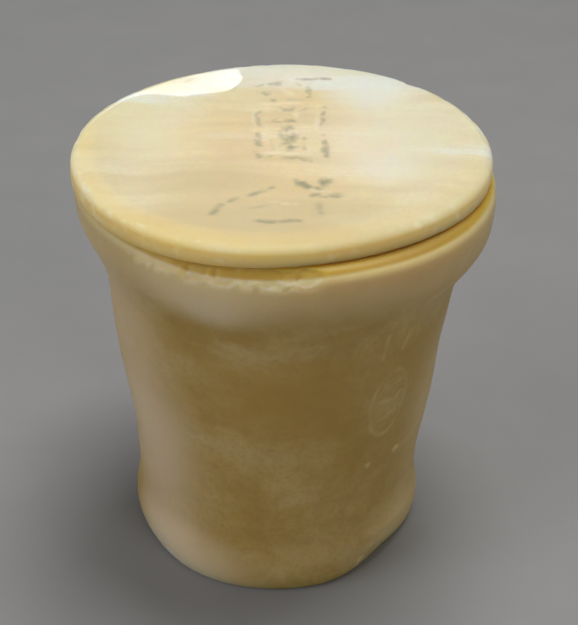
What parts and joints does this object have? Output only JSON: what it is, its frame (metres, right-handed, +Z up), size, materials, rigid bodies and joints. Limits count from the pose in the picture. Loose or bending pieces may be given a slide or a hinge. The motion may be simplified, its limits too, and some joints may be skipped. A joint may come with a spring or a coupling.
{
  "type": "model jar",
  "caption": "Small carved stone jar with a waisted wall, a rolled rim and a loose flat disc lid, as made for a tomb in ancient Egypt.",
  "frame": {"origin": "centre of the jar's flat underside, where it stands", "axes": "+Z up along the jar's axis, -Y towards the front, with the incised oval to the front's right"},
  "size_m": [0.0564, 0.0563, 0.0596],
  "materials": {
    "wall_stone": "worn polish, translucent, mottled golden brown",
    "lid_stone": "smooth polish, translucent, cream with faint veins"
  },
  "bodies": {
    "root": {"jar": "wall_stone", "lid": "lid_stone"}
  },
  "joints": []
}
